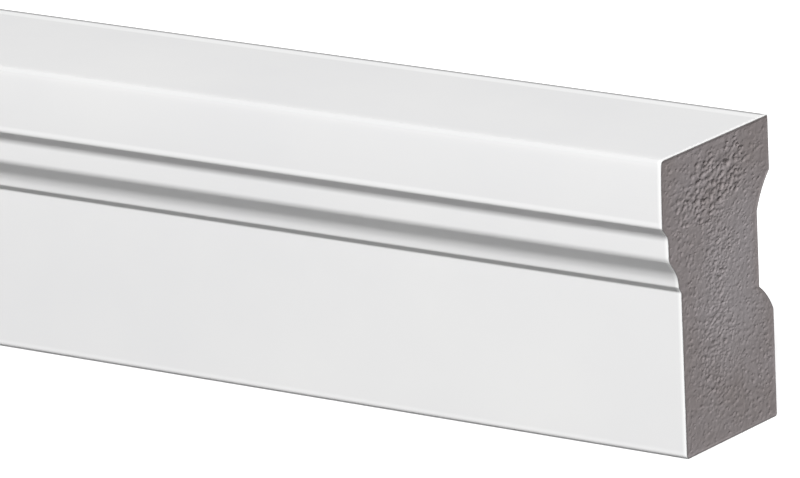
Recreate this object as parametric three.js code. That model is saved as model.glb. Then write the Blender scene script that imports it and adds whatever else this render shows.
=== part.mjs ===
// A short length of brick moulding, the thick trim that frames an outside door or window and
// butts against the brickwork. It is one solid bar of one section, sawn square at both ends.
import * as THREE from "three";

// Driving dimensions, in millimetres. The section is drawn in y and z: y runs from the front of
// the face to the back, and z from the thin inner edge, which it stands on, to the thick outer edge.
const LENGTH = 160;
const HEIGHT = 50.8;
const THICKNESS = 31.75;

// The face, from the thick edge down: a crowned nosing with a sloped shoulder, a flat bead, a cove
// and a plain flat.
const NOSING_HEIGHT = 11.15;
const NOSING_CROWN = 0.06;
const NOSING_LEAN = 0.25;
const SHOULDER_DROP = 1.6;
const SHOULDER_LEAN = 0.17;
const BEAD_SETBACK = 1.6;
const QUIRK_FALL = 1.85;
const BEAD_HEIGHT = 3.9;
const COVE_DEPTH = 2.4;
const COVE_SLOPE = 3.1;
const COVE_FOOT = 1.9;
const COVE_LEAN = 0.18;
const FILLET_STEP = 0.65;
const FILLET_FALL = 0.95;

// The back: a shallow relief between two lands, with a hollow upper side and a round lower side.
const UPPER_LAND = 9.1;
const RELIEF_DEPTH = 4;
const UPPER_SIDE = 6;
const UPPER_HOLLOW = 0.42;
const RELIEF_FLOOR = 12.8;
const LOWER_SIDE = 4.7;
const LOWER_SWELL = 0.4;

// Radii of the arrises and of the inner corners.
const OUTER_ARRIS = 0.75;
const SHOULDER = 20;
const INNER_ARRIS = 0.8;
const BACK_ARRIS = 0.35;
const NOSING_ARRIS = 0.7;
const QUIRK = 1.9;
const BEAD_ARRIS = 1.8;
const COVE_BEND = 4.4;
const COVE_ARRIS = 0.5;
const INSIDE_CORNER = 0.25;
const ROUND_LAND = 1.2;

// Largest turn between two facets of a curve, in radians, and the least number of facets.
const FACET_TURN = THREE.MathUtils.degToRad(7);
const LEAST_FACETS = 3;

// The section's corners in order, anticlockwise from the front of the standing edge. Each has its
// place, the radius that softens it, and the bow of the stretch that leaves it: positive bows
// out of the moulding, negative into it.
function sectionCorners() {
  const corner = (y, z, radius, bow = 0) => ({ at: new THREE.Vector2(y, z), radius, bow });
  const noseFoot = HEIGHT - NOSING_HEIGHT;
  const beadHead = noseFoot - QUIRK_FALL;
  const beadFoot = beadHead - BEAD_HEIGHT;
  const coveBend = beadFoot - COVE_SLOPE;
  const coveFoot = coveBend - COVE_FOOT;
  const coveY = BEAD_SETBACK + COVE_DEPTH;
  const coveEnd = coveY + COVE_LEAN;
  const flatY = coveEnd + FILLET_STEP;
  const floorY = THICKNESS - RELIEF_DEPTH;
  const upperLandFoot = HEIGHT - UPPER_LAND;
  const floorHead = upperLandFoot - UPPER_SIDE;
  const floorFoot = floorHead - RELIEF_FLOOR;
  const lowerLandHead = floorFoot - LOWER_SIDE;
  return [
    corner(flatY, 0, INNER_ARRIS),
    corner(THICKNESS, 0, BACK_ARRIS),
    corner(THICKNESS, lowerLandHead, ROUND_LAND, LOWER_SWELL),
    corner(floorY, floorFoot, INSIDE_CORNER),
    corner(floorY, floorHead, INSIDE_CORNER, -UPPER_HOLLOW),
    corner(THICKNESS, upperLandFoot, BACK_ARRIS),
    corner(THICKNESS, HEIGHT, BACK_ARRIS),
    corner(NOSING_LEAN + SHOULDER_LEAN, HEIGHT, OUTER_ARRIS),
    corner(NOSING_LEAN, HEIGHT - SHOULDER_DROP, SHOULDER, NOSING_CROWN),
    corner(0, noseFoot, NOSING_ARRIS),
    corner(BEAD_SETBACK, beadHead, QUIRK),
    corner(BEAD_SETBACK, beadFoot, BEAD_ARRIS),
    corner(coveY, coveBend, COVE_BEND),
    corner(coveEnd, coveFoot, COVE_ARRIS),
    corner(flatY, coveFoot - FILLET_FALL, COVE_ARRIS),
  ];
}

// Points on an arc from one point to another whose middle stands off the chord by the bow,
// to the right of the way it runs. A stretch without a bow is its two ends.
function bowed(from, to, bow) {
  if (bow === 0) return [from.clone(), to.clone()];
  const chord = to.clone().sub(from);
  const half = chord.length() / 2;
  const halfTurn = 2 * Math.atan(bow / half);
  const right = new THREE.Vector2(chord.y, -chord.x).normalize();
  const middle = from.clone().add(to).multiplyScalar(0.5);
  const radius = half / Math.sin(halfTurn);
  const centre = middle.clone().addScaledVector(right, -radius * Math.cos(halfTurn));
  const facets = Math.max(LEAST_FACETS, Math.ceil(Math.abs(2 * halfTurn) / FACET_TURN));
  const points = [];
  for (let i = 0; i <= facets; i += 1) {
    const turn = 2 * halfTurn * (i / facets);
    points.push(from.clone().rotateAround(centre, turn));
  }
  return points;
}

// The part of a stretch that is left when a length is taken off its start and its end.
function trimmed(points, offStart, offEnd) {
  const shorten = (line, off) => {
    const rest = line.map((point) => point.clone());
    let left = off;
    while (rest.length > 2 && rest[0].distanceTo(rest[1]) <= left) {
      left -= rest[0].distanceTo(rest[1]);
      rest.shift();
    }
    const step = rest[1].clone().sub(rest[0]);
    rest[0].addScaledVector(step.normalize(), left);
    return rest;
  };
  const fromStart = shorten(points, offStart);
  return shorten(fromStart.reverse(), offEnd).reverse();
}

// Points on the arc that rounds a corner, from the end of one stretch to the start of the next.
function rounded(into, corner, outOf) {
  const ahead = corner.clone().sub(into);
  const away = outOf.clone().sub(corner);
  const turn = Math.atan2(ahead.cross(away), ahead.dot(away));
  const bow = Math.tan(turn / 4) * (into.distanceTo(outOf) / 2);
  return bowed(into, outOf, bow);
}

// The whole outline: each stretch less what its two corners take, with the corner arcs between.
function sectionOutline() {
  const corners = sectionCorners();
  const count = corners.length;
  const stretches = corners.map((start, i) => {
    const end = corners[(i + 1) % count];
    return bowed(start.at, end.at, start.bow);
  });
  const takenAt = corners.map((corner, i) => {
    const before = stretches[(i + count - 1) % count];
    const after = stretches[i];
    const ahead = corner.at.clone().sub(before[before.length - 2]);
    const away = after[1].clone().sub(corner.at);
    const turn = Math.abs(Math.atan2(ahead.cross(away), ahead.dot(away)));
    return corner.radius * Math.tan(turn / 2);
  });
  const sides = stretches.map((points, i) => trimmed(points, takenAt[i], takenAt[(i + 1) % count]));
  const outline = [];
  sides.forEach((side, i) => {
    const next = sides[(i + 1) % count];
    const corner = corners[(i + 1) % count].at;
    outline.push(...side.slice(0, -1));
    outline.push(...rounded(side[side.length - 1], corner, next[0]).slice(0, -1));
  });
  return outline;
}

// The bar is the section carried along X, centred on its length and its thickness.
function moulding() {
  const section = new THREE.Shape(sectionOutline());
  const geometry = new THREE.ExtrudeGeometry(section, { depth: LENGTH, bevelEnabled: false });
  const skin = new THREE.MeshStandardMaterial({ color: 0xe9e9e9, roughness: 0.42, metalness: 0 });
  const mesh = new THREE.Mesh(geometry, skin);
  mesh.name = "brick_moulding";
  const alongY = new THREE.Vector3(0, 1, 0);
  const alongZ = new THREE.Vector3(0, 0, 1);
  const alongX = new THREE.Vector3(1, 0, 0);
  mesh.quaternion.setFromRotationMatrix(new THREE.Matrix4().makeBasis(alongY, alongZ, alongX));
  mesh.position.set(-LENGTH / 2, -THICKNESS / 2, 0);
  return mesh;
}

const part = new THREE.Group();
part.add(moulding());
export default part;
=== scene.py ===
"""A short length of white cellular plastic brick moulding, sawn square, on a plain pale floor."""
import math

import bpy
import numpy as np
from mathutils import Matrix, Vector


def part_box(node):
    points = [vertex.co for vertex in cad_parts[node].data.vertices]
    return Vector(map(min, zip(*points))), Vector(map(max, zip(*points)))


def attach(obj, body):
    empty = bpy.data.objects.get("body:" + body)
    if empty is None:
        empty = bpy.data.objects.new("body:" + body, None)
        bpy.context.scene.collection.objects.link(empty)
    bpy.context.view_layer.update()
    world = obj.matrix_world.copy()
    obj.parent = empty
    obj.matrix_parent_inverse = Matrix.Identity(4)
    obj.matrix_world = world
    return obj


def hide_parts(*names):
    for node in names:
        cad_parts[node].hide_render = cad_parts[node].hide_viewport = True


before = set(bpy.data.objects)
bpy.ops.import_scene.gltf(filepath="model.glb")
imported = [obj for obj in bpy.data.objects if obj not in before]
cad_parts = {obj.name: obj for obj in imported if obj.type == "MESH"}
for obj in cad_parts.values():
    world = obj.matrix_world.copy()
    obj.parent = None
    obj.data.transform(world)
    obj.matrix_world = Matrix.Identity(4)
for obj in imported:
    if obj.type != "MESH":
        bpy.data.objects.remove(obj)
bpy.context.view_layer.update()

MM = 0.001
low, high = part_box("brick_moulding")
LENGTH = (high.x - low.x) / MM
HEIGHT = (high.z - low.z) / MM
THICKNESS = 31.75

# The face, from the thick edge down, in millimetres.
NOSING_HEIGHT = 11.15
NOSING_CROWN = 0.06
NOSING_LEAN = 0.25
SHOULDER_DROP = 1.6
SHOULDER_LEAN = 0.17
BEAD_SETBACK = 1.6
QUIRK_FALL = 1.85
BEAD_HEIGHT = 3.9
COVE_DEPTH = 2.4
COVE_SLOPE = 3.1
COVE_FOOT = 1.9
COVE_LEAN = 0.18
FILLET_STEP = 0.65
FILLET_FALL = 0.95

# The back, from the thick edge down.
UPPER_LAND = 9.1
RELIEF_DEPTH = 4.0
UPPER_SIDE = 6.0
UPPER_HOLLOW = 0.42
RELIEF_FLOOR = 12.8
LOWER_SIDE = 4.7
LOWER_SWELL = 0.4

# Radii of the arrises and of the inner corners.
OUTER_ARRIS = 0.75
SHOULDER = 20.0
INNER_ARRIS = 0.8
BACK_ARRIS = 0.35
NOSING_ARRIS = 0.7
QUIRK = 1.9
BEAD_ARRIS = 1.8
COVE_BEND = 4.4
COVE_ARRIS = 0.5
INSIDE_CORNER = 0.25
ROUND_LAND = 1.2

# How finely the surfaces are laid out.
ARC_STEP = math.radians(5.0)
LEAST_ARC_STEPS = 4
LEVEL_STEP = 0.145
LEAST_LEVEL_GAP = 0.012
COLUMNS = 146

# The sawn ends, in millimetres: their worn arris, how far from the border the cells start and over
# what width they grow, the widths of the shallow border and of its dark line, and how far along
# the bar a painted highlight lies on the skin by each sawn arris. Then the seeds of their random
# cells, and how much the columns of their grids crowd towards the border.
SAWN_ARRIS = 0.12
SKIN_START = 0.35
SKIN_BAND = 1.6
EDGE_BAND = 0.4
RIM = 0.3
SAWN_EDGE_HIGHLIGHT_REACH = 0.7
NEAR_SEED = 11
FAR_SEED = 47
COLUMN_CROWDING = 0.06

# Where the cells are: centre and reach in the section, in millimetres, and tilt in degrees. Then
# how steeply a patch rises from its rim, so that its middle is full.
COARSE_PATCH = ((15.3, 43.4), (11.8, 6.0), 15.0)
TRAIL_PATCH = ((16.0, 31.0), (4.6, 10.0), 0.0)
FOOT_PATCH = ((14.6, 15.5), (5.4, 10.5), -6.0)
SPOT_PATCH = ((28.3, 19.4), (1.3, 1.3), 0.0)
PALE_PATCH = ((20.5, 26.0), (13.0, 17.0), 0.0)
PATCH_SLOPE = 1.35

# The cells by size: spacing, reach and greatest depth, in millimetres.
DEEPEST = 0.55
LARGE_CELL = (1.0, 0.60, DEEPEST)
SECOND_CELL = (0.80, 0.50, 0.28)
SMALL_CELL = (0.56, 0.34, 0.17)
CELL_STRETCH = 1.25

# What differs at random from cell to cell, each as its least value and the most that is added: the
# place in a square of the lattice, and the reach and the depth over those of its size. Then how
# much slimmer than round a cell can be, and the power that shapes its bowl.
CELL_PLACE = (0.1, 0.8)
CELL_REACH = (0.6, 0.6)
CELL_DEPTH = (0.3, 0.7)
CELL_SLIMNESS = 0.45
BOWL_POWER = 1.5

# Shares of the cells that are open where a patch is full. The large ones have the coarse patch and
# a power that fills out its rim, the second ones the coarse patch, the foot, the trail and the
# spots, and the small ones the trail, the foot, the coarse patch and all that is under the skin.
LARGE_SHARE = 0.75
LARGE_POWER = 0.7
SECOND_SHARES = (0.45, 0.40, 0.35, 0.5)
SMALL_SHARES = (0.5, 0.50, 0.3, 0.34)

# The sawn face between its cells: how far it lies in, and the pitch and height of its unevenness.
SAWN_IN = 0.065
UNEVENNESS = ((0.40, 0.032), (0.75, 0.026), (2.4, 0.024))

# The power by which a cell's depth sets its painted shade, and the tone of the pale middle.
PIT_SHADE_POWER = 0.75
PALE_TONE = 0.55

# Painted highlights and painted shade on the skin, as lines by its arrises: start and end from
# their arris, soft edge and strength.
BACK_ARRIS_SHADE = (-1.0, 1.0, 0.3, 0.85)
BACK_ARRIS_HIGHLIGHT = (1.3, 3.0, 0.5, 0.6)
FRONT_ARRIS_SHADE = (-1.0, 0.6, 0.6, 0.55)
FOOT_HIGHLIGHT = (0.7, 1.3, 0.4, 0.3)
QUIRK_HIGHLIGHT = (0.35, 0.95, 0.35, 0.5)
FILLET_SHADE = (0.0, FILLET_FALL, 0.5, 0.5)
DOWN_THE_BACK = 3.0
GLOW_ALONG_TOP = 2.4
GLOW_DOWN_FACE = 1.2
FRONT_HIGHLIGHT = 0.42
STANDING_ARRIS = 0.2

# Colours of the skin and of the sawn foam, and greys of the skin's painted highlight and painted
# shade lines. The last white is a painted highlight by the sawn arris, and the foam's colour for
# its opened cells is painted shade in them.
COOL_WHITE = (0.795, 0.795, 0.800, 1.0)
WARM_WHITE = (0.825, 0.824, 0.822, 1.0)
SAWN_EDGE_HIGHLIGHT_WHITE = (0.97, 0.97, 0.965, 1.0)
HIGHLIGHT_GREY = 0.96
SHADE_GREY = 0.30
FOAM_DARK = (0.348, 0.303, 0.297, 1.0)
FOAM_LIGHT = (0.433, 0.392, 0.402, 1.0)
FOAM_SPECK = (0.334, 0.298, 0.294, 1.0)
FOAM_PALE = (0.483, 0.448, 0.463, 1.0)
FOAM_PIT_SHADE = (0.228, 0.201, 0.197, 1.0)
FOAM_BORDER = (0.17, 0.155, 0.15, 1.0)

# The camera, in metres and degrees, with its lens in millimetres. Then the floor, in metres, with
# the distances between which its glow grows and its strength at each.
CAMERA_PLACE = (0.803236, -1.096180, 0.412114)
CAMERA_AIM = (35.6284, 15.98, -2.540)
CAMERA_LENS = 384.5
FLOOR_HALF = 12.0
FLOOR_GAP = 0.05 * MM
FLOOR_GLOW = (0.8, 2.5, 0.5, 1.0)

RANGE_SOCKETS = ("From Min", "From Max", "To Min", "To Max")


def section_corners():
    """Corners of the section, anticlockwise from the front of the standing edge.

    Each has y, z, its radius and a bow: how far the middle of the stretch that leaves the corner
    stands off its chord."""
    nose_foot = HEIGHT - NOSING_HEIGHT
    bead_head = nose_foot - QUIRK_FALL
    bead_foot = bead_head - BEAD_HEIGHT
    cove_bend = bead_foot - COVE_SLOPE
    cove_foot = cove_bend - COVE_FOOT
    cove_y = BEAD_SETBACK + COVE_DEPTH
    cove_end = cove_y + COVE_LEAN
    flat_y = cove_end + FILLET_STEP
    floor_y = THICKNESS - RELIEF_DEPTH
    upper_land_foot = HEIGHT - UPPER_LAND
    floor_head = upper_land_foot - UPPER_SIDE
    floor_foot = floor_head - RELIEF_FLOOR
    lower_land_head = floor_foot - LOWER_SIDE
    return np.array([
        (flat_y, 0.0, INNER_ARRIS, 0.0),
        (THICKNESS, 0.0, BACK_ARRIS, 0.0),
        (THICKNESS, lower_land_head, ROUND_LAND, LOWER_SWELL),
        (floor_y, floor_foot, INSIDE_CORNER, 0.0),
        (floor_y, floor_head, INSIDE_CORNER, -UPPER_HOLLOW),
        (THICKNESS, upper_land_foot, BACK_ARRIS, 0.0),
        (THICKNESS, HEIGHT, BACK_ARRIS, 0.0),
        (NOSING_LEAN + SHOULDER_LEAN, HEIGHT, OUTER_ARRIS, 0.0),
        (NOSING_LEAN, HEIGHT - SHOULDER_DROP, SHOULDER, NOSING_CROWN),
        (0.0, nose_foot, NOSING_ARRIS, 0.0),
        (BEAD_SETBACK, bead_head, QUIRK, 0.0),
        (BEAD_SETBACK, bead_foot, BEAD_ARRIS, 0.0),
        (cove_y, cove_bend, COVE_BEND, 0.0),
        (cove_end, cove_foot, COVE_ARRIS, 0.0),
        (flat_y, cove_foot - FILLET_FALL, COVE_ARRIS, 0.0),
    ])


def bowed(start, end, bow):
    """An arc whose middle stands off the chord from start to end by the bow, to its right.

    Half its turn is twice the arc tangent of the bow over half the chord, and its radius is half
    the chord over the sine of that. Its points are its start, turned about its centre in equal
    steps."""
    chord = end - start
    half = np.hypot(*chord) / 2
    half_turn = 2 * math.atan2(bow, half)
    if abs(half_turn) < 1e-9:
        return np.array([start, end])
    right = np.array([chord[1], -chord[0]]) / (2 * half)
    radius = half / math.sin(half_turn)
    centre = (start + end) / 2 - right * radius * math.cos(half_turn)
    steps = max(LEAST_ARC_STEPS, math.ceil(abs(2 * half_turn) / ARC_STEP))
    turn = np.linspace(0.0, 2 * half_turn, steps + 1)
    arm = start - centre
    return centre + np.stack([arm[0] * np.cos(turn) - arm[1] * np.sin(turn),
                              arm[0] * np.sin(turn) + arm[1] * np.cos(turn)], axis=1)


def cut_back(line, off):
    """The line with a length taken off its start, measured along it.

    A tenth of its last step stays at least."""
    steps = np.hypot(*np.diff(line, axis=0).T)
    along = np.concatenate([[0.0], np.cumsum(steps)])
    off = min(off, along[-2] + 0.9 * steps[-1])
    start = np.array([np.interp(off, along, line[:, 0]), np.interp(off, along, line[:, 1])])
    return np.vstack([start, line[along > off + 1e-9]])


def turn_between(ahead, away):
    """Signed turn from one direction to another, positive to the left.

    It is the arc tangent of their cross product over their dot product."""
    return math.atan2(ahead[0] * away[1] - ahead[1] * away[0], ahead @ away)


def section_pieces():
    """The section's stretches, less what their corners take, and the arcs that round the corners.

    A corner takes its radius times the tangent of half its turn from each stretch. Its arc's bow
    is half the arc's chord times the tangent of a quarter of its turn."""
    corners = section_corners()
    count = len(corners)
    places = corners[:, :2]
    sides = [bowed(places[i], places[(i + 1) % count], corners[i, 3]) for i in range(count)]
    taken = []
    for i in range(count):
        before, after = sides[i - 1], sides[i]
        turn = turn_between(before[-1] - before[-2], after[1] - after[0])
        taken.append(corners[i, 2] * math.tan(abs(turn) / 2))
    for i in range(count):
        from_start = cut_back(sides[i], taken[i])
        sides[i] = cut_back(from_start[::-1], taken[(i + 1) % count])[::-1]
    arcs = []
    for i in range(count):
        into, out_of = sides[i - 1][-1], sides[i][0]
        turn = turn_between(places[i] - into, out_of - places[i])
        arcs.append(bowed(into, out_of, math.tan(turn / 4) * np.hypot(*(out_of - into)) / 2))
    return sides, arcs


def section_sides():
    """The section's front and back outlines, each from the bottom up, as y against z.

    The two level stretches part them: the bottom one, which leaves the first corner, and the top
    one, which leaves the back corner of the thick edge."""
    sides, arcs = section_pieces()
    top_back = 6
    back = [arcs[1]]
    for i in range(1, top_back):
        back += [sides[i], arcs[i + 1]]
    front = [arcs[top_back + 1]]
    for i in range(top_back + 1, len(sides)):
        front += [sides[i], arcs[(i + 1) % len(sides)]]
    return np.vstack(front)[::-1], np.vstack(back)


def levels(front, back):
    """Heights of the rows: every height where an outline bends, and an even spacing between."""
    even = np.linspace(0.0, HEIGHT, int(HEIGHT / LEVEL_STEP))
    bends = np.concatenate([front[:, 1], back[:, 1]])
    every = np.unique(np.clip(np.concatenate([even, bends]), 0.0, HEIGHT).round(4))
    kept = [every[0]]
    for z in every[1:-1]:
        if z - kept[-1] > LEAST_LEVEL_GAP and HEIGHT - z > LEAST_LEVEL_GAP:
            kept.append(z)
    kept.append(every[-1])
    if len(kept) % 2 == 0:
        kept.insert(len(kept) // 2, (kept[len(kept) // 2 - 1] + kept[len(kept) // 2]) / 2)
    return np.array(kept)


def side_at(side, z):
    """y of an outline at the heights z, in proportion between its points.

    Its heights are made to rise from point to point by a hair where it runs level."""
    order = np.maximum.accumulate(side[:, 1] + np.arange(len(side)) * 1e-9)
    return np.interp(z, order, side[:, 0])


def near(y, z, centre, reach, tilt=0.0):
    """A soft patch, between nothing and one.

    It is its slope times one less the squared distance over the squared reach, along two axes that
    are turned by its tilt."""
    turn = math.radians(tilt)
    along = ((y - centre[0]) * math.cos(turn) + (z - centre[1]) * math.sin(turn)) / reach[0]
    across = (-(y - centre[0]) * math.sin(turn) + (z - centre[1]) * math.cos(turn)) / reach[1]
    return np.clip(PATCH_SLOPE * (1.0 - (along ** 2 + across ** 2)), 0.0, 1.0)


def cells(y, z, pitch, radius, depth, wanted, seed):
    """Depth of the opened cells at each point.

    Cell centres are a lattice with a random shift in each square. A cell is an oval hollow, turned
    and slimmed at random. Its depth falls from its centre as one less the squared distance over the
    squared reach, to the power one and a half. It is there where a random number is below the
    wanted share. Of the cells that reach a point, the deepest counts."""
    u, v = y / (pitch * CELL_STRETCH), z / pitch
    iu, iv = np.floor(u).astype(int), np.floor(v).astype(int)
    low_u, low_v = iu.min() - 2, iv.min() - 2
    shape = (iu.max() - low_u + 3, iv.max() - low_v + 3)
    draw = np.random.default_rng(seed)
    shift_u, shift_v, size, chance, strength, lean, slim = draw.random((7,) + shape)
    deepest = np.zeros_like(y)
    for du in (-1, 0, 1):
        for dv in (-1, 0, 1):
            ku, kv = iu + du - low_u, iv + dv - low_v
            off_u = u - (iu + du + CELL_PLACE[0] + CELL_PLACE[1] * shift_u[ku, kv])
            off_v = v - (iv + dv + CELL_PLACE[0] + CELL_PLACE[1] * shift_v[ku, kv])
            turn = lean[ku, kv] * math.pi
            along = off_u * np.cos(turn) + off_v * np.sin(turn)
            slimmed = 1.0 + CELL_SLIMNESS * slim[ku, kv]
            across = (off_v * np.cos(turn) - off_u * np.sin(turn)) * slimmed
            reach = radius * (CELL_REACH[0] + CELL_REACH[1] * size[ku, kv]) / pitch
            within = np.clip(1.0 - (along ** 2 + across ** 2) / reach ** 2, 0.0, 1.0)
            there = chance[ku, kv] < wanted
            share = CELL_DEPTH[0] + CELL_DEPTH[1] * strength[ku, kv]
            deepest = np.maximum(deepest, there * depth * share * within ** BOWL_POWER)
    return deepest


def swell(y, z, pitch, seed):
    """Smooth random unevenness between -1 and 1.

    Random values on a lattice are blended in proportion, by shares that are eased: three times the
    square less twice the cube."""
    u, v = y / pitch, z / pitch
    iu, iv = np.floor(u).astype(int), np.floor(v).astype(int)
    fu, fv = u - iu, v - iv
    fu, fv = fu * fu * (3 - 2 * fu), fv * fv * (3 - 2 * fv)
    iu, iv = iu - iu.min(), iv - iv.min()
    value = np.random.default_rng(seed).uniform(-1, 1, (iu.max() + 2, iv.max() + 2))
    lower = value[iu, iv] * (1 - fu) + value[iu + 1, iv] * fu
    upper = value[iu, iv + 1] * (1 - fu) + value[iu + 1, iv + 1] * fu
    return lower * (1 - fv) + upper * fv


def sawn_relief(y, z, inside, seed):
    """Depth of the sawn face below its plane in millimetres, the share of painted shade in its
    cells, which grows with their depth, and its tone.

    The cells are largest in the thick part behind the nosing. A trail of small ones runs down the
    middle to a second patch in the flat's core, and the skin all round is dense. The depth is the
    cells' and the uneven face's together, and fades to nothing at the border. The tone is pale in
    the middle of the section and falls to minus one in a dark line at its border."""
    core = np.clip((inside - SKIN_START) / SKIN_BAND, 0.0, 1.0)
    edge = np.clip(inside / EDGE_BAND, 0.0, 1.0)
    coarse = near(y, z, *COARSE_PATCH) * core
    trail = near(y, z, *TRAIL_PATCH) * core
    foot = near(y, z, *FOOT_PATCH) * core
    spots = near(y, z, *SPOT_PATCH) * core
    larges = LARGE_SHARE * coarse ** LARGE_POWER
    seconds = sum(a * patch for a, patch in zip(SECOND_SHARES, (coarse, foot, trail, spots)))
    smalls = sum(a * patch for a, patch in zip(SMALL_SHARES, (trail, foot, coarse, core)))
    large = cells(y, z, *LARGE_CELL, larges, seed)
    second = cells(y, z, *SECOND_CELL, seconds, seed + 1)
    small = cells(y, z, *SMALL_CELL, smalls, seed + 2)
    opened = np.maximum(np.maximum(large, second), small)
    uneven = np.zeros_like(y)
    for i, (pitch, height) in enumerate(UNEVENNESS):
        uneven += height * swell(y, z, pitch, seed + 3 + i)
    depth = np.clip(opened + edge * (SAWN_IN + uneven), 0.0, None) * edge
    tone = PALE_TONE * near(y, z, *PALE_PATCH) * core - np.clip(1.0 - inside / RIM, 0.0, 1.0)
    return depth, np.clip(opened / DEEPEST, 0.0, 1.0) ** PIT_SHADE_POWER, tone


def end_grid(front, back, z, columns):
    """Grid over the section, the same grid set in by the worn arris, and its way to the border.

    Its rows are at the heights z, and its columns at shares of the way from front to back. The
    shares crowd towards the border by a small sine. The way to the border is the least of those to
    the front, the back, the bottom and the top."""
    even = np.linspace(0.0, 1.0, columns)
    share = even - COLUMN_CROWDING * np.sin(2 * math.pi * even) / (2 * math.pi)
    y_front, y_back = side_at(front, z), side_at(back, z)
    y = y_front[:, None] * (1 - share) + y_back[:, None] * share
    zz = np.repeat(z[:, None], columns, axis=1)
    from_sides = np.minimum(y - y_front[:, None], y_back[:, None] - y)
    inside = np.minimum(from_sides, np.minimum(zz, HEIGHT - zz))
    drawn_in = y + SAWN_ARRIS * (1 - 2 * share)[None, :]
    drawn_up = zz + SAWN_ARRIS * (1 - 2 * zz / HEIGHT)
    return y, zz, drawn_in, drawn_up, inside


def band(distance, inner, outer, soft, strength):
    """The strength between two distances, falling to nothing over the soft width at each."""
    rise = np.clip((distance - inner) / soft + 0.5, 0.0, 1.0)
    fall = np.clip((outer - distance) / soft + 0.5, 0.0, 1.0)
    return strength * (rise * fall)


def painted_light_lines(y, z):
    """Tone of the painted lines along the long arrises, from -1 for painted shade to 1 for painted
    highlight.

    Each line is a band of the distance from an arris. The back arris of the thick edge has painted
    shade with a painted highlight beside it, and its distance down the back counts three times
    over.
    The front one has a little painted shade, which tempers its highlight, inside a wider painted
    highlight, which fades by the length of an arrow whose parts are the distances along the top and
    down the face over their reaches. Painted highlights run above the quirk and above the foot, and
    the fillet under the cove has painted shade."""
    on_face = y < THICKNESS / 2
    face_y = NOSING_LEAN + SHOULDER_LEAN
    flat_y = BEAD_SETBACK + COVE_DEPTH + COVE_LEAN + FILLET_STEP
    cove_foot = HEIGHT - NOSING_HEIGHT - QUIRK_FALL - BEAD_HEIGHT - COVE_SLOPE - COVE_FOOT
    from_back = np.hypot(y - THICKNESS, DOWN_THE_BACK * (z - HEIGHT))
    from_front = np.hypot(y - face_y, z - HEIGHT)
    from_foot = np.hypot(y - flat_y, z)
    over_quirk = z - (HEIGHT - NOSING_HEIGHT)
    fading = np.hypot((y - face_y) / GLOW_ALONG_TOP, (HEIGHT - z) / GLOW_DOWN_FACE)
    pale = band(from_back, *BACK_ARRIS_HIGHLIGHT) + band(from_foot, *FOOT_HIGHLIGHT) * (z > STANDING_ARRIS)
    pale += FRONT_HIGHLIGHT * np.clip(1.0 - fading, 0.0, 1.0) + band(over_quirk, *QUIRK_HIGHLIGHT) * on_face
    painted_shade = band(from_back, *BACK_ARRIS_SHADE) + band(from_front, *FRONT_ARRIS_SHADE)
    painted_shade += band(cove_foot - z, *FILLET_SHADE) * on_face
    return pale - painted_shade


def loop_of(rows, columns):
    """Indices of a grid's border, anticlockwise from the first: along the bottom, up and back."""
    grid = np.arange(rows * columns).reshape(rows, columns)
    return np.concatenate([grid[0, :-1], grid[:-1, -1], grid[-1, :0:-1], grid[:0:-1, 0]])


def grid_faces(rows, columns, start, flipped):
    """Quads of a grid of points, counted from start."""
    grid = start + np.arange(rows * columns).reshape(rows, columns)
    quads = np.stack([grid[:-1, :-1], grid[:-1, 1:], grid[1:, 1:], grid[1:, :-1]], axis=-1)
    quads = quads.reshape(-1, 4)
    return quads[:, ::-1] if flipped else quads


class Bar:
    """The moulding's points, faces and tones, gathered part by part."""

    def __init__(self):
        self.places, self.opens, self.tones = [], [], []
        self.quads, self.triangles = [], []
        self.total = 0

    def add(self, x, y, up, opened, tone):
        """Adds points, all of one shape, and gives the index of the first."""
        start = self.total
        flat = [np.ravel(a) for a in np.broadcast_arrays(x, y, up)]
        self.places.append(np.stack(flat, axis=1))
        # On a sawn end, opened is the share of painted shade in its cells. On the skin, it is the
        # share of the painted highlight by the sawn arris.
        self.opens.append(np.ravel(np.broadcast_to(opened, np.shape(up))))
        self.tones.append(np.ravel(np.broadcast_to(tone, np.shape(up))))
        self.total += len(flat[0])
        return start

    def sawn_end(self, outlines, heights, columns, side, seed):
        """A grid over one end with its cells as hollows: its border's indices, y and z."""
        y, zz, y_in, z_in, inside = end_grid(*outlines, heights, columns)
        depth, opened, tone = sawn_relief(y, zz, inside, seed)
        start = self.add(side * (LENGTH / 2 - depth), y_in, z_in, opened, tone)
        self.quads.append(grid_faces(len(heights), columns, start, flipped=side < 0))
        loop = loop_of(len(heights), columns)
        return start + loop, np.ravel(y)[loop], np.ravel(zz)[loop]

    def join(self, first, second):
        """A band of quads between two rings of equally many points."""
        ahead = np.roll(second, -1), np.roll(first, -1)
        self.quads.append(np.stack([first, second, *ahead], axis=1))

    def join_to_half(self, ring, half):
        """A band of triangles from a ring to one of half its points, three to two of its steps."""
        a, b, c = ring[0::2], ring[1::2], np.roll(ring[0::2], -1)
        d, e = half, np.roll(half, -1)
        for corners in ((a, d, b), (b, d, e), (b, e, c)):
            self.triangles.append(np.stack(corners, axis=1))


def ring_stations():
    """Places of the rings along X, from the near end to the far one, and the share of painted
    highlight on each.

    A painted highlight lies on the skin by each sawn end, and fades over a short length from its
    arris."""
    from_end = SAWN_ARRIS + SAWN_EDGE_HIGHLIGHT_REACH * np.array([0.0, 0.5, 1.0])
    # The painted highlight by the sawn arris is full at the arris and fades to nothing.
    sawn_edge_highlight = np.array([1.0, 0.5, 0.0])
    between = np.array([0.25, 0.5, 0.75]) * LENGTH
    from_near = np.concatenate([from_end, between, LENGTH - from_end[:0:-1]])
    return LENGTH / 2 - from_near, np.concatenate([sawn_edge_highlight, np.zeros(3), sawn_edge_highlight[:0:-1]])


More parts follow.
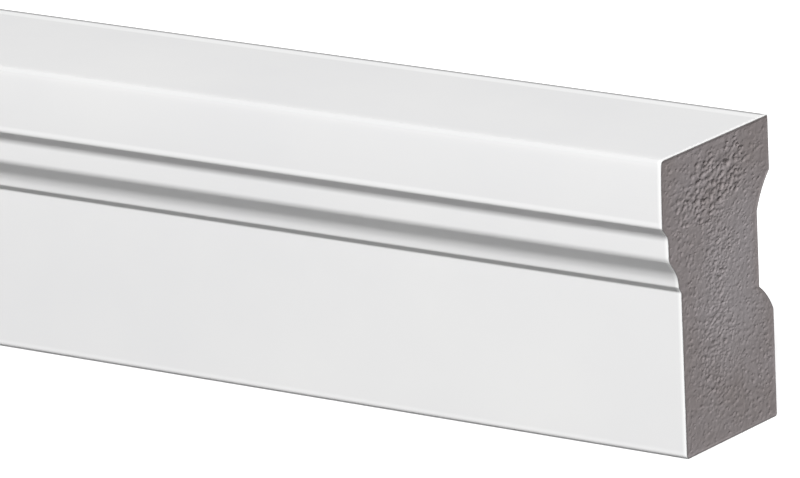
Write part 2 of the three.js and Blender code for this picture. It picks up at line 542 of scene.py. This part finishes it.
def bar_mesh():
    """The moulding as one closed mesh.

    The section's border is carried along X as rings. The sawn end at each end is a grid over the
    section, set in by its worn arris, with its cells as real hollows. The far end has half the rows
    and columns, so its border has every other point, and three triangles join two steps to one."""
    outlines = section_sides()
    z = levels(*outlines)
    columns = COLUMNS + (COLUMNS + 1) % 2
    bar = Bar()
    near_loop, ring_y, ring_z = bar.sawn_end(outlines, z, columns, 1, NEAR_SEED)
    far_loop, far_y, far_z = bar.sawn_end(outlines, z[::2], (columns + 1) // 2, -1, FAR_SEED)
    end_faces = sum(len(quads) for quads in bar.quads)

    count = len(near_loop)
    # Painted highlight and painted shade lines along the skin's arrises.
    line = painted_light_lines(ring_y, ring_z)
    ring = near_loop
    for x, sawn_edge_highlight in zip(*ring_stations()):
        start = bar.add(np.full(count, x), ring_y, ring_z, sawn_edge_highlight, line)
        following = start + np.arange(count)
        bar.join(ring, following)
        ring = following
    # The last ring, by the far sawn arris, carries the full painted highlight.
    last_x = np.full(len(far_loop), SAWN_ARRIS - LENGTH / 2)
    start = bar.add(last_x, far_y, far_z, 1.0, painted_light_lines(far_y, far_z))
    last = start + np.arange(len(far_loop))
    bar.join_to_half(ring, last)
    bar.join(last, far_loop)
    return blender_mesh(bar, end_faces, np.concatenate([near_loop, far_loop]))


def blender_mesh(bar, end_faces, arrises):
    """The bar as a Blender mesh, whose first faces are the sawn ends and their arrises sharp."""
    points = np.vstack(bar.places)
    points[:, 1] -= THICKNESS / 2
    quads = np.vstack(bar.quads)
    triangles = np.vstack(bar.triangles)
    corner_list = np.concatenate([quads.ravel(), triangles.ravel()]).astype(np.int32)
    totals = np.concatenate([np.full(len(quads), 4), np.full(len(triangles), 3)])
    starts = np.concatenate([[0], np.cumsum(totals)[:-1]]).astype(np.int32)
    slots = np.zeros(len(totals), np.int32)
    slots[:end_faces] = 1

    mesh = bpy.data.meshes.new("brick_moulding_dressed")
    mesh.vertices.add(len(points))
    mesh.vertices.foreach_set("co", (points * MM).astype(np.float32).ravel())
    mesh.loops.add(len(corner_list))
    mesh.loops.foreach_set("vertex_index", corner_list)
    mesh.polygons.add(len(totals))
    mesh.polygons.foreach_set("loop_start", starts)
    mesh.polygons.foreach_set("use_smooth", np.ones(len(totals), bool))
    mesh.polygons.foreach_set("material_index", slots)
    mesh.update(calc_edges=True)

    def attribute(name, kind, domain, values):
        """Stores a value at each point or edge."""
        mesh.attributes.new(name, kind, domain).data.foreach_set("value", values)

    # Share of painted shade in the sawn cells, and of painted highlight by the sawn arrises.
    attribute("pit_shade_and_edge_highlight", "FLOAT", "POINT", np.concatenate(bar.opens).astype(np.float32))
    attribute("tone", "FLOAT", "POINT", np.concatenate(bar.tones).astype(np.float32))
    edges = np.zeros(len(mesh.edges) * 2, np.int32)
    mesh.edges.foreach_get("vertices", edges)
    on_arris = np.zeros(len(points), bool)
    on_arris[arrises] = True
    attribute("sharp_edge", "BOOLEAN", "EDGE", on_arris[edges.reshape(-1, 2)].all(axis=1))
    mesh.validate()
    return mesh


class Nodes:
    """A short way to write one material's nodes."""

    def __init__(self, name):
        self.material = bpy.data.materials.new(name)
        self.material.use_nodes = True
        self.tree = self.material.node_tree
        self.shader = self.tree.nodes["Principled BSDF"]
        self.place = self.add("ShaderNodeTexCoord").outputs["Object"]

    def add(self, kind, **settings):
        """A new node with the settings given."""
        node = self.tree.nodes.new(kind)
        for key, value in settings.items():
            setattr(node, key, value)
        return node

    def join(self, source, target):
        """A link from an output to an input."""
        self.tree.links.new(source, target)

    def scaled(self, scale):
        """Object coordinates, each times its scale."""
        node = self.add("ShaderNodeMapping")
        node.inputs["Scale"].default_value = scale
        self.join(self.place, node.inputs["Vector"])
        return node.outputs["Vector"]

    def noise(self, vector, scale, detail, roughness):
        """Smooth random values over the coordinates, between 0 and 1."""
        node = self.add("ShaderNodeTexNoise")
        node.inputs["Scale"].default_value = scale
        node.inputs["Detail"].default_value = detail
        node.inputs["Roughness"].default_value = roughness
        self.join(vector, node.inputs["Vector"])
        return node.outputs["Fac"]

    def spread(self, value, low_in, high_in, low_out, high_out):
        """The value carried in proportion from one range to another, and held at its ends."""
        node = self.add("ShaderNodeMapRange")
        for name, number in zip(RANGE_SOCKETS, (low_in, high_in, low_out, high_out)):
            node.inputs[name].default_value = number
        self.join(value, node.inputs["Value"])
        return node.outputs["Result"]

    def mix(self, share, first, second):
        """A blend of two colours, each a value or a socket, by the second one's share."""
        node = self.add("ShaderNodeMix", data_type="RGBA")
        factor, first_colour, second_colour = node.inputs["Factor"], node.inputs[6], node.inputs[7]
        self.join(share, factor)
        for socket, value in ((first_colour, first), (second_colour, second)):
            if isinstance(value, bpy.types.NodeSocket):
                self.join(value, socket)
            else:
                socket.default_value = value
        mixed_colour = node.outputs[2]
        return mixed_colour

    def attribute(self, name):
        """A number stored at the mesh's points."""
        return self.add("ShaderNodeAttribute", attribute_name=name).outputs["Fac"]

    def bump(self, height, strength, distance):
        """Tilts the shading by the slope of a height, which spans the distance in metres."""
        node = self.add("ShaderNodeBump")
        node.inputs["Strength"].default_value = strength
        node.inputs["Distance"].default_value = distance
        self.join(height, node.inputs["Height"])
        self.join(node.outputs["Normal"], self.shader.inputs["Normal"])


def grey(value):
    """An opaque grey, its three parts alike."""
    return (value, value, value, 1.0)


def white_skin():
    """The extruded skin: white, satin, with faint lines along its length.

    It takes painted highlights and painted shade from its tone, and is palest in a painted
    highlight by each sawn arris."""
    n = Nodes("extruded_white_skin")
    lines = n.noise(n.scaled((6.0, 900.0, 900.0)), scale=1.0, detail=3.0, roughness=0.6)
    cloud = n.noise(n.scaled((1.0, 1.0, 1.0)), scale=28.0, detail=3.0, roughness=0.55)
    tone = n.attribute("tone")
    white = n.mix(n.spread(cloud, 0.3, 0.7, 0.0, 1.0), COOL_WHITE, WARM_WHITE)
    # Painted highlight and painted shade lines, from the tone.
    pale = n.mix(n.spread(tone, 0.0, 1.0, 0.0, 1.0), white, grey(HIGHLIGHT_GREY))
    painted_shade = n.mix(n.spread(tone, -1.0, 0.0, 1.0, 0.0), pale, grey(SHADE_GREY))
    # Painted highlight on the skin by each sawn arris.
    sawn_edge_highlight = n.spread(n.attribute("pit_shade_and_edge_highlight"), 0.0, 1.0, 0.0, 1.0)
    n.join(n.mix(sawn_edge_highlight, painted_shade, SAWN_EDGE_HIGHLIGHT_WHITE), n.shader.inputs["Base Color"])
    n.join(n.spread(lines, 0.3, 0.7, 0.56, 0.64), n.shader.inputs["Roughness"])
    n.shader.inputs["IOR"].default_value = 1.5
    n.shader.inputs["Specular IOR Level"].default_value = 0.25
    n.bump(lines, 0.05, 0.02 * MM)
    return n.material


def sawn_foam():
    """The sawn core: warm grey and matt, with painted shade in its opened cells, and darker in a
    line by the skin.
    """
    n = Nodes("sawn_grey_foam")
    cloud = n.noise(n.scaled((1.0, 1.0, 1.0)), scale=75.0, detail=5.0, roughness=0.6)
    speck = n.noise(n.scaled((1.0, 1.0, 1.0)), scale=1500.0, detail=2.0, roughness=0.6)
    tone = n.attribute("tone")
    warm = n.mix(n.spread(cloud, 0.3, 0.7, 0.0, 1.0), FOAM_DARK, FOAM_LIGHT)
    specked = n.mix(n.spread(speck, 0.35, 0.65, 0.0, 0.5), warm, FOAM_SPECK)
    pale = n.mix(n.spread(tone, 0.0, 1.0, 0.0, 1.0), specked, FOAM_PALE)
    # Painted shade in the opened cells, darker the deeper they are.
    pit_shade_share = n.spread(n.attribute("pit_shade_and_edge_highlight"), 0.0, 1.0, 0.0, 0.7)
    opened = n.mix(pit_shade_share, pale, FOAM_PIT_SHADE)
    lined = n.mix(n.spread(tone, -1.0, 0.0, 0.55, 0.0), opened, FOAM_BORDER)
    n.join(lined, n.shader.inputs["Base Color"])
    n.shader.inputs["Roughness"].default_value = 0.82
    n.shader.inputs["IOR"].default_value = 1.45
    n.bump(speck, 0.35, 0.06 * MM)
    return n.material


def dressed_moulding():
    """The moulding with its skin and its sawn ends, in place of the plain solid."""
    mesh = bar_mesh()
    mesh.materials.append(white_skin())
    mesh.materials.append(sawn_foam())
    piece = bpy.data.objects.new("brick_moulding_length", mesh)
    bpy.context.scene.collection.objects.link(piece)
    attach(piece, "root")
    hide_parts("brick_moulding")
    return piece


def aim(azimuth, elevation, roll=0.0):
    """Turn of a camera or lamp that looks along an azimuth and down by an elevation.

    Its roll is about its line of sight. All three are in degrees."""
    a, e, r = (math.radians(value) for value in (azimuth, elevation, roll))
    ahead = Vector((-math.sin(a) * math.cos(e), math.cos(a) * math.cos(e), -math.sin(e)))
    level = Vector((math.cos(a), math.sin(a), 0.0))
    up = level.cross(ahead)
    right = level * math.cos(r) + up * math.sin(r)
    up = right.cross(ahead)
    return Matrix((right, up, -ahead)).transposed().to_quaternion()


def camera():
    """The photograph's view: a long lens from above and to the right of the face, a bit rolled."""
    data = bpy.data.cameras.new("camera")
    data.sensor_width = 36.0
    data.lens = CAMERA_LENS
    data.clip_start = 0.05
    data.clip_end = 50.0
    made = bpy.data.objects.new("camera", data)
    made.location = CAMERA_PLACE
    made.rotation_mode = "QUATERNION"
    made.rotation_quaternion = aim(*CAMERA_AIM)
    bpy.context.scene.collection.objects.link(made)
    bpy.context.scene.camera = made


def floor():
    """A wide pale floor just under the moulding, whose own glow grows with distance.

    It shows, and takes shadows, but lights nothing."""
    half = FLOOR_HALF
    corners = [(-half, -half, 0), (half, -half, 0), (half, half, 0), (-half, half, 0)]
    mesh = bpy.data.meshes.new("floor")
    mesh.from_pydata(corners, [], [(0, 1, 2, 3)])
    n = Nodes("pale_floor")
    n.shader.inputs["Base Color"].default_value = grey(0.93)
    n.shader.inputs["Roughness"].default_value = 0.9
    n.shader.inputs["Specular IOR Level"].default_value = 0.1
    n.shader.inputs["Emission Color"].default_value = grey(1.0)
    away = n.add("ShaderNodeVectorMath", operation="LENGTH")
    n.join(n.place, away.inputs[0])
    glow = n.spread(away.outputs["Value"], *FLOOR_GLOW)
    n.join(glow, n.shader.inputs["Emission Strength"])
    mesh.materials.append(n.material)
    made = bpy.data.objects.new("floor", mesh)
    made.location.z = -FLOOR_GAP
    bpy.context.scene.collection.objects.link(made)
    made.visible_diffuse = False
    made.visible_glossy = False


def lamp(name, azimuth, elevation, distance, size, power):
    """A square soft lamp that looks at the moulding's middle from an azimuth and an elevation."""
    data = bpy.data.lights.new(name, "AREA")
    data.shape = "SQUARE"
    data.size = size
    data.energy = power
    made = bpy.data.objects.new(name, data)
    a, e = math.radians(azimuth), math.radians(elevation)
    towards = Vector((math.sin(a) * math.cos(e), -math.cos(a) * math.cos(e), math.sin(e)))
    made.location = towards * distance
    made.rotation_mode = "QUATERNION"
    made.rotation_quaternion = aim(azimuth, elevation)
    bpy.context.scene.collection.objects.link(made)


def surroundings(behind, far_end, backdrop):
    """Soft light from behind the moulding and from its far end, before a white backdrop.

    One share of its strength grows with how far a direction points behind the moulding, and the
    other with how squarely it points to its far end. The backdrop shows and lights nothing."""
    world = bpy.data.worlds.new("studio")
    world.use_nodes = True
    tree = world.node_tree
    place = tree.nodes.new("ShaderNodeTexCoord")
    split = tree.nodes.new("ShaderNodeSeparateXYZ")
    tree.links.new(place.outputs["Generated"], split.inputs["Vector"])

    def ramp(axis, start, end, strength):
        """Strength that grows in proportion to a direction's part along the axis, start to end."""
        node = tree.nodes.new("ShaderNodeMapRange")
        for name, number in zip(RANGE_SOCKETS, (start, end, 0.0, strength)):
            node.inputs[name].default_value = number
        tree.links.new(split.outputs[axis], node.inputs["Value"])
        return node.outputs["Result"]

    both = tree.nodes.new("ShaderNodeMath")
    tree.links.new(ramp("Y", 0.0, 1.0, behind), both.inputs[0])
    tree.links.new(ramp("X", -0.5, -1.0, far_end), both.inputs[1])
    path = tree.nodes.new("ShaderNodeLightPath")
    shown = tree.nodes.new("ShaderNodeMix")
    shown.inputs["B"].default_value = backdrop
    tree.links.new(path.outputs["Is Camera Ray"], shown.inputs["Factor"])
    tree.links.new(both.outputs["Value"], shown.inputs["A"])
    back = tree.nodes["Background"]
    back.inputs["Color"].default_value = grey(1.0)
    tree.links.new(shown.outputs["Result"], back.inputs["Strength"])
    bpy.context.scene.world = world


camera()
floor()
dressed_moulding()
lamp("key", azimuth=25.0, elevation=37.5, distance=3.6, size=2.1, power=184.0)
surroundings(behind=0.72, far_end=0.70, backdrop=1.0)
bpy.context.scene.view_settings.view_transform = "Standard"
